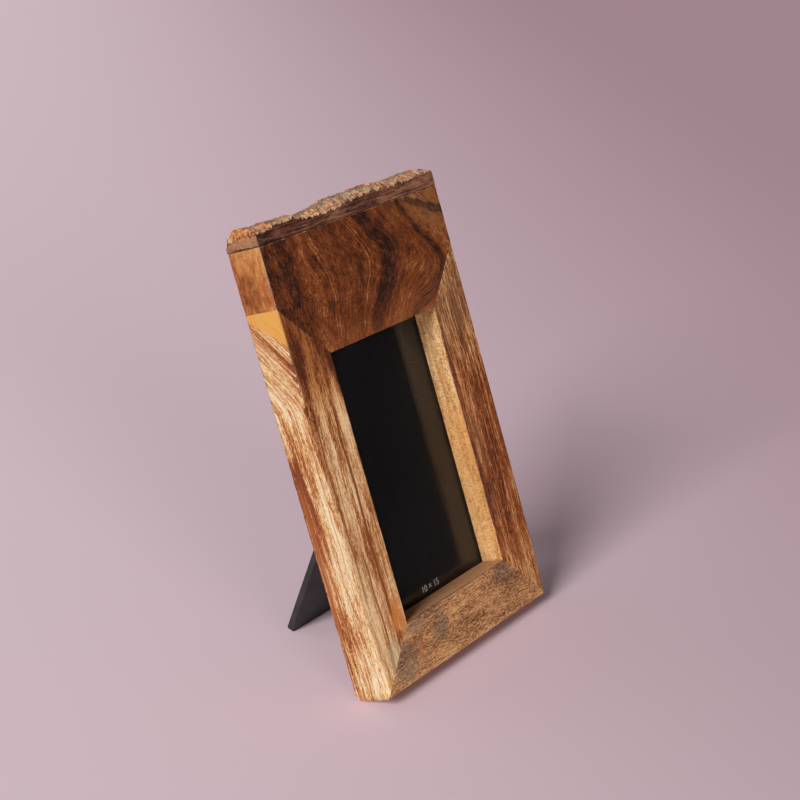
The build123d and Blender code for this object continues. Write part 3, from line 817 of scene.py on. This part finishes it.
# The live edge strip: the waney outer slice of a plank, glued along the top. Its sawn
# front is dark and its upper edge follows the ragged line where the bark begins.
strip_height = 8
crown_height = 3.2
strip_spacing = 0.6
strip_arris = 0.3
depth_stations = (0, 2.1, 6.93, 14.7, 21)
crown_shares = (-1, -0.3, 0.15, 0.25, 0)
across_stations = [-half_width + share * frame_width for share in (
    0, 0.07, 0.2, 0.27, 0.38, 0.45, 0.55, 0.68, 0.78, 0.93, 1)]
wane_shares = (0.65, 0.81, 1, 0.71, 0.64, 0.7, 0.94, 0.94, 0.88, 1.02, 0.99)
tooth_height, tooth_scales, tooth_fractal = 0.9, (0.5, 0.1, 4), (0.55, 2.2, 5)
chip_height, chip_scales, chip_steps = 1.5, (0.27, 0.06, 9), 2.5
chipped_from, chipped_to = 12, 19
wild_roughness = 0.5
front_points, top_points, back_points, bottom_points = 5, 14, 3, 5
strip_tones = (
    (0, 0.028, 0.011, 0.007), (0.2, 0.074, 0.025, 0.013), (0.5, 0.128, 0.048, 0.026),
    (0.8, 0.19, 0.076, 0.042), (1, 0.28, 0.13, 0.074),
)
strip_end_tones = ((0, 0.1, 0.042, 0.019), (0.5, 0.24, 0.108, 0.05), (1, 0.39, 0.2, 0.1))


def read_off(stations, values, place):
    """Value at a place, on straight lines between stations."""
    return float(interp(place, stations, values))


def spot_of(scales, across, depth):
    """Place to read a noise at: two scaled lengths and a slice of its own."""
    return Vector((across * scales[0], depth * scales[1], scales[2]))


def wood_top(across, depth):
    """Height of the wood's wild upper side, chipped and torn along its front."""
    height = seam_height + read_off(across_stations, wane_shares, across) * strip_height
    crown = read_off(depth_stations, crown_shares, depth) * crown_height
    tooth = noise.fractal(spot_of(tooth_scales, across, depth), *tooth_fractal)
    chip = round(noise.noise(spot_of(chip_scales, across, depth)) * chip_steps) / chip_steps
    forward = read_off((chipped_from, chipped_to), (0, 1), depth)
    torn = forward * (tooth * tooth_height + chip * chip_height)
    return height + crown + (torn - (1 - forward) * abs(tooth) * wild_roughness)


def lofted(stations, loop_points, place_at):
    """A closed tube of stations by points round its section, with its two ends filled."""
    bm = bmesh.new()
    bmesh.ops.create_grid(bm, x_segments=len(stations) - 1, y_segments=loop_points, size=0.5)
    for vert in bm.verts:
        station = stations[round((vert.co.x + 0.5) * (len(stations) - 1))]
        point = round((vert.co.y + 0.5) * loop_points) % loop_points
        vert.co = place_at(station, point)
    bmesh.ops.remove_doubles(bm, verts=bm.verts[:], dist=1e-6)
    rim = [edge for edge in bm.edges if edge.is_boundary]
    bmesh.ops.holes_fill(bm, edges=rim, sides=0)
    bmesh.ops.recalc_face_normals(bm, faces=bm.faces[:])
    return bm, rim


def strip_point(across, point):
    """A point round the strip's section: up the front, over the top, down and back."""
    if point < front_points:
        rise = point / front_points
        top = wood_top(across, rail_thickness)
        return Vector((across, seam_height + rise * (top - seam_height), rail_thickness))
    point -= front_points
    if point < top_points:
        depth = rail_thickness * (1 - point / top_points)
        return Vector((across, wood_top(across, depth), depth))
    point -= top_points
    if point < back_points:
        rise = 1 - point / back_points
        return Vector((across, seam_height + rise * (wood_top(across, 0) - seam_height), back_clearance))
    depth = rail_thickness * (point - back_points) / bottom_points
    return Vector((across, seam_height, max(depth, back_clearance)))


def kept_within(bm):
    """Keeps a piece between the frame's two sides."""
    for vert in bm.verts:
        vert.co.x = max(-half_width, min(half_width, vert.co.x))


live_edge_wood, shader = new_material("live_edge_wood")
place = plank_place()
u, v, d = parted(place)
grain = use(sawn_grain, Place=place, Wander=2)
figure = figured(grain, 0.22, 0.26, 0.26, 0.26)
tone = tally(fade(figure, 0.24, 0.86), (fade(u, -40, -74), -0.1), (fade(u, 30, 60), 0.22))
at_end = fade(u, -73.9, -74.3)
end_specks = spots(place, (0.7, 0.8, 0.8), 0.34, 0.66, rough=0.65)
end_tone = tally(0, (grain["Clouds"], 0.4), (end_specks, 0.5))
colour = blend(at_end, toned(tone, strip_tones), toned(end_tone, strip_end_tones))
colour = blend(both(grain["Pores"], 0.5), colour, umber)
seam_shade = fade(v, seam_height + 0.6, seam_height + 0.2)
colour = blend(both(seam_shade, fade(grain["Streaks"], 0.3, 0.8, 0, 0.8)), colour, umber)
# Painted shade: the crack at the seam is darkened on the strip's end face.
seam_gap_shade = both(at_end, fade(v, seam_height + 0.9, seam_height + 0.5), fade(end_specks, 0.9, 0.1))
colour = blend(both(seam_gap_shade, fade(grain["Clouds"], 0.2, 0.7, 0.4, 1)), colour, umber)
wood_surface(shader, colour, grain)

strip_stations = [-half_width] + steps(-half_width, half_width, strip_spacing) + [half_width]
strip_loop = front_points + top_points + back_points + bottom_points
live_edge_strip, rim = lofted(strip_stations, strip_loop, strip_point)
eased(live_edge_strip, rim, strip_arris, 2, clamped=True)
kept_within(live_edge_strip)
finished(live_edge_strip, "live_edge_slice", live_edge_wood, ["live_edge_strip"])

# The bark: the tree's own rough skin, left on the strip's wild side. It lies in flaky
# plates with cracks between them, pinkish tan and grey outside and orange where it is cut.
# The cracks and the steps between plates are darkened in its colour as painted shade.
bark_thickness = 4
bark_overlap = 0.05
bark_spacing = 0.42
bark_shares = (1.35, 0.85, 0.52, 0.77, 1.02, 1.43, 0.99, 1.15, 0.92, 0.81, 0.51)
cover_depths = (0, 0.8, 2.1, 4, 6.9, 10, 14.7, 17, 19, 20.3, 20.9, 21)
cover_shares = (0.02, 0.25, 0.5, 0.8, 1, 1, 0.93, 0.82, 0.6, 0.36, 0.16, 0.02)
outer_points, under_points, even_share = 44, 12, 0.35
flake_stretch = Vector((0.11, 0.3, 0.24))
flake_fractal = (0.9, 2.1, 4)
flake_levels = 4
flake_edge = 0.3
flake_depth = 1.7
swell_middle, swell_reach = 0.5, 0.62
stray_scale, stray_reach = 0.35, 0.9
stray_shifts = (0, 17, 31)
skin_depth = 0.03
crumb_depth, crumb_scale = 0.12, 0.8
full_relief_height = 1.6
sideways_share = 0.3
bark_tones = (
    (0, 0.07, 0.034, 0.022), (0.12, 0.2, 0.086, 0.043), (0.3, 0.36, 0.162, 0.085),
    (0.55, 0.47, 0.238, 0.132), (0.8, 0.59, 0.335, 0.195), (1, 0.74, 0.49, 0.32),
)
bark_orange = (0.62, 0.225, 0.07)
bark_grey = (0.31, 0.255, 0.165)
bark_crack_shade = (0.034, 0.022, 0.02)
cut_bark_tones = ((0, 0.12, 0.042, 0.018), (0.45, 0.34, 0.12, 0.036), (1, 0.56, 0.26, 0.1))
cut_cream = (0.55, 0.36, 0.21)
colour_stray = (1.6, 1.6, 1.6)
plate_pull = (0.1, 0.3, 0.25)

bark, shader = new_material("bark")
place = plank_place()
u, v, d = parted(place)
wander = put("ShaderNodeTexNoise", {"Vector": place, "Scale": 0.5, "Detail": 3}).outputs["Color"]
stray = vectors("MULTIPLY_ADD", wander, colour_stray, place)[0]
plate_feeds = {"Vector": vectors("MULTIPLY", stray, plate_pull)[0], "Scale": 1}
plates = put("ShaderNodeTexVoronoi", plate_feeds).outputs
edges = put("ShaderNodeTexVoronoi", plate_feeds, feature="DISTANCE_TO_EDGE").outputs
plate_tone = parted(plates["Color"])
steps_of_skin = speckle(stray, (8, 3, 3.6), 4, 0.6)
step_shadow_lines = sums("MAXIMUM", ridge(steps_of_skin, 0.44, 0.011), ridge(steps_of_skin, 0.56, 0.011))
cracks = sums("MAXIMUM", fade(edges["Distance"], 0.04, 0.01, 0, 0.8), step_shadow_lines)
flakes = spots(place, (9, 2.4, 3.4), 0.36, 0.64, 3, 0.55, 0.5)
lichen = spots(place, (14, 5, 5), 0.47, 0.58)
ember = spots(place, (10, 4, 5), 0.53, 0.64)
crumbs = speckle(place, (1.5, 0.7, 0.9), 3, 0.6)
tone = tally(0.16, (plate_tone[0], 0.2), (flakes, 0.36), (fade(crumbs, 0.35, 0.65), 0.2))
colour = toned(tone, bark_tones)
colour = blend(both(ember, fade(plate_tone[1], 0.2, 0.6, 0.2, 0.65)), colour, bark_orange)
colour = blend(both(lichen, fade(plate_tone[2], 0, 0.6, 0.3, 0.8)), colour, bark_grey)
# Painted shade: the cracks and the steps between flakes are darkened in the colour.
colour = blend(both(cracks, fade(flakes, 0, 1, 0.95, 0.45)), colour, bark_crack_shade)
at_end = fade(u, -73.6, -74.3)
cut_specks = spots(place, (1, 1.6, 0.9), 0.36, 0.64, rough=0.65)
end_tone = tally(-0.35, (cut_specks, 0.7), (flakes, 0.5), (fade(v, 236, 241), 0.35))
end_colour = blend(both(fade(d, 9, 2), ember), toned(end_tone, cut_bark_tones), cut_cream)
feed(shader, {
    "Base Color": blend(at_end, colour, end_colour), "Roughness": 0.85, "Specular IOR Level": 0.15,
    "Normal": relief(0.45, 0.0003, tally(0, (cracks, -0.9), (crumbs, 1), (flakes, 0.5)))})


def bark_point(across, point):
    """A point round the bark's section: over its outside from the front, back under it."""
    if point < outer_points:
        turn = point / outer_points
        eased_turn = 3 * turn ** 2 - 2 * turn ** 3
        depth = rail_thickness * (1 - (even_share * turn + (1 - even_share) * eased_turn))
        cover = read_off(cover_depths, cover_shares, depth) * bark_thickness
        rise = cover * read_off(across_stations, bark_shares, across)
    else:
        depth = rail_thickness * (point - outer_points) / under_points
        rise = -bark_overlap
    return Vector((across, wood_top(across, depth) + rise, max(depth, back_clearance)))


def crag(place):
    """How far the bark stands back from its full height: ragged steps between flat flakes."""
    scaled = place * stray_scale
    stray = Vector([noise.noise(scaled + Vector((shift, 0, 0))) for shift in stray_shifts])
    spot = (place + stray * stray_reach) * flake_stretch
    swell = swell_middle + swell_reach * noise.fractal(spot, *flake_fractal, noise_basis="PERLIN_ORIGINAL")
    level = max(0, min(1, swell)) * flake_levels
    step = min(1, (level % 1) / flake_edge)
    depth = (int(level) + step * step * (3 - 2 * step)) / (flake_levels + 1)
    crumb = noise.turbulence(place * crumb_scale, 3, False, noise_basis="BLENDER")
    return skin_depth + flake_depth * depth + crumb_depth * crumb


bark_stations = [-half_width] + steps(-half_width, half_width, bark_spacing) + [half_width]
bark_layer, rim = lofted(bark_stations, outer_points + under_points, bark_point)
bark_layer.normal_update()
moves = []
for vert in bark_layer.verts:
    above = vert.co.y - wood_top(vert.co.x, vert.co.z)
    loose = min(1, max(0, above) / full_relief_height)
    moves.append((vert, vert.normal * (-crag(vert.co) * loose)))
for vert, move in moves:
    move.x *= sideways_share
    vert.co += move
kept_within(bark_layer)
finished(bark_layer, "bark_skin", bark, ["bark_layer"], smooth_angle=60)

# V nails: bent strips of spring steel, pressed into the back of the frame across each
# mitre, two to a corner. The CAD model's own nails are kept and given their finish.
steel_bright = (0.56, 0.56, 0.57)
steel_dull = (0.3, 0.3, 0.31)

# Brushing, clouding and fine scratches on plated steel
plated_finish, takes, result = new_group(
    "plated_finish", {"Place": (0, 0, 0), "Brushing": (6, 0.12, 0.12)}, ["Brushed", "Clouds", "Scratches"])
inverse = vectors("DIVIDE", (1, 1, 1), takes["Brushing"])[0]
brushed_place = vectors("MULTIPLY", takes["Place"], inverse)[0]
feed(result, {
    "Brushed": put("ShaderNodeTexNoise", {"Vector": brushed_place, "Scale": 1, "Detail": 3}).outputs[0],
    "Clouds": spots(takes["Place"], (5, 5, 5), 0.35, 0.65, 4, 0.5),
    "Scratches": spots(takes["Place"], (7, 0.25, 0.25), 0.66, 0.72, 2, 0.5, 1.2)})


def plated_steel(name, roughness, brushing):
    """Plated steel with its own sheen and brushing."""
    material, shader = new_material(name)
    finish = use(plated_finish, Place=plank_place(), Brushing=brushing)
    colour = blend(both(finish["Clouds"], 0.6), steel_bright, steel_dull)
    feed(shader, {
        "Base Color": blend(both(finish["Scratches"], 0.4), colour, steel_dull), "Metallic": 1,
        "Roughness": tally(roughness, (finish["Brushed"], 0.16), (finish["Clouds"], 0.08)),
        "Normal": relief(0.25, 0.00004, finish["Brushed"])})
    return material


def dressed(node, material):
    """Gives a CAD node its finish."""
    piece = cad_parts[node]
    piece.data.materials.clear()
    piece.data.materials.append(material)


nail_steel = plated_steel("nail_steel", 0.35, (0.6, 0.6, 0.6))
dressed("mitre_v_nails", nail_steel)

# The glass: a pane of float glass with its sharp rim taken off, lying against the lip of
# the rebate. A faint film on it is all that shows of its surface.
glass_thickness = 1.9
pane_width, pane_height, pane_arris = 102.2, 153.2, 0.25
glass_colour = (0.955, 0.98, 0.97)
glass_index = 1.24

picture_glass, shader = new_material("picture_glass")
film = fade(speckle(plank_place(), (26, 40, 26), 4, 0.6), 0.45, 0.75, 0, 0.035)
feed(shader, {
    "Base Color": glass_colour, "Roughness": film, "Transmission Weight": 1, "IOR": glass_index})

pane = bmesh.new()
bmesh.ops.create_cube(pane, size=1)
bmesh.ops.scale(pane, verts=pane.verts[:], vec=(pane_width, pane_height, glass_thickness))
bmesh.ops.translate(pane, verts=pane.verts[:], vec=(0, sight_middle, rebate_depth - glass_thickness / 2))
eased(pane, pane.edges[:], pane_arris, 1)
finished(pane, "glass_pane", picture_glass, ["glass"])

# The insert: the black coated card that shows until a photograph takes its place, with
# a plain size in centimetres printed small in white near its foot.
card_front = 5
card_black = (0.0085, 0.0075, 0.0085)
card_black_worn = (0.013, 0.0115, 0.012)
print_white = (0.86, 0.84, 0.83)
numbers_text = "10 \u00d7 15"
numbers_height = 5
numbers_place = (-9.5, 32.2)
print_depth, print_lift = 0.004, 0.03

insert_card, shader = new_material("insert_card")
mottle = speckle(plank_place(), (3, 3, 3), 4, 0.6)
feed(shader, {
    "Base Color": blend(mottle, card_black, card_black_worn), "Specular IOR Level": 0.2,
    "Roughness": fade(mottle, 0.3, 0.7, 0.45, 0.6)})
dressed("photo_insert", insert_card)

white_print, shader = new_material("white_print")
patchy = fade(speckle(plank_place(), (0.5, 0.5, 0.5), 3, 0.6), 0.25, 0.6, 0.6, 1)
feed(shader, {"Base Color": blend(patchy, card_black_worn, print_white), "Roughness": 0.6})

numbers_curve = bpy.data.curves.new("size_numbers", "FONT")
numbers_curve.body = numbers_text
numbers_curve.size = 1
numbers_curve.extrude = print_depth
numbers_object = shown("size_numbers_outline", numbers_curve)
bpy.context.view_layer.update()
drawn = numbers_object.evaluated_get(bpy.context.evaluated_depsgraph_get())
numbers = bmesh.new()
numbers.from_mesh(bpy.data.meshes.new_from_object(drawn))
bpy.data.objects.remove(numbers_object)
bmesh.ops.remove_doubles(numbers, verts=numbers.verts[:], dist=1e-6)
bmesh.ops.scale(numbers, verts=numbers.verts[:], vec=(numbers_height, numbers_height, numbers_height))
bmesh.ops.translate(numbers, verts=numbers.verts[:], vec=(*numbers_place, card_front + print_lift))
finished(numbers, "insert_size_numbers", white_print, [])

# The backing board: thin hardboard stained black, let in flush behind the card. Its
# pressed face has the faint weave of the screen that it was made on.
board_black = (0.028, 0.027, 0.028)
board_worn = (0.065, 0.058, 0.052)
screen_pitch = (0.45, 0.45, 0.45)

board_finish, shader = new_material("board_black")
place = plank_place()
mottle = speckle(place, (9, 9, 9), 5, 0.6)
feed(shader, {
    "Base Color": blend(fade(mottle, 0.45, 0.75), board_black, board_worn),
    "Roughness": fade(mottle, 0.3, 0.7, 0.55, 0.72),
    "Normal": relief(0.5, 0.00008, speckle(place, screen_pitch))})
dressed("backing_board", board_finish)

# The easel hinge: two leaves of zinc plated sheet steel whose rolled knuckles turn on a
# headed pin, held by domed rivets to the board and to the leg.
hinge_ease = 0.12
flat_angle, sharp_angle, copy_smooth_angle = 1, 40, 35
hinge_steel = plated_steel("hinge_steel", 0.28, (7, 0.1, 0.1))
pin_steel = plated_steel("pin_steel", 0.22, (0.1, 5, 5))
rivet_steel = plated_steel("rivet_steel", 0.24, (0.5, 0.5, 0.5))


def eased_copy(node, name, material, body, ease):
    """A copy of a CAD node with its doubles merged and its sharp arrises eased."""
    bm = bmesh.new()
    bm.from_mesh(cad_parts[node].data)
    bmesh.ops.transform(bm, matrix=Matrix.Scale(1 / millimetre, 4), verts=bm.verts[:])
    bmesh.ops.remove_doubles(bm, verts=bm.verts[:], dist=1e-4)
    bmesh.ops.dissolve_limit(
        bm, angle_limit=radians(flat_angle), verts=bm.verts[:], edges=bm.edges[:],
        use_dissolve_boundaries=False)
    sharp = [
        edge for edge in bm.edges
        if len(edge.link_faces) == 2 and edge.calc_face_angle() > radians(sharp_angle)]
    eased(bm, sharp, ease, 2, clamped=True)
    finished(bm, name, material, [node], body, Matrix.Scale(millimetre, 4), copy_smooth_angle)


eased_copy("hinge_board_leaf", "hinge_board_plate", hinge_steel, "surround", hinge_ease)
eased_copy("hinge_leg_leaf", "hinge_leg_plate", hinge_steel, "leg", hinge_ease)
dressed("hinge_pin", pin_steel)
dressed("hinge_board_rivets", rivet_steel)
dressed("hinge_leg_rivets", rivet_steel)

# The support leg: a board that widens to its foot, sprayed satin black all over, with a
# fine orange peel in the paint and a few greyer clouds.
leg_black = (0.014, 0.0135, 0.013)
leg_grey = (0.052, 0.052, 0.052)
orange_peel = (0.7, 0.7, 0.7)

leg_finish, shader = new_material("leg_black")
place = plank_place()
mottle = speckle(place, (6, 6, 6), 5, 0.6)
feed(shader, {
    "Base Color": blend(fade(mottle, 0.4, 0.8, 0, 0.5), leg_black, leg_grey),
    "Roughness": fade(mottle, 0.3, 0.7, 0.42, 0.55),
    "Normal": relief(0.3, 0.00008, speckle(place, orange_peel))})
dressed("support_leg", leg_finish)

# Turn buttons: punched steel arms, swung in over the backing board to keep it in, each
# on a domed screw with a crossed recess.
button_ease = 0.15
button_steel = plated_steel("button_steel", 0.26, (5, 0.12, 0.12))
screw_steel = plated_steel("screw_steel", 0.2, (0.4, 0.4, 0.4))
for level in ("lower", "upper"):
    for hand in ("left", "right"):
        button = f"turn_button_{level}_{hand}"
        eased_copy(button, f"{button}_arm", button_steel, button, button_ease)
dressed("turn_button_screws", screw_steel)
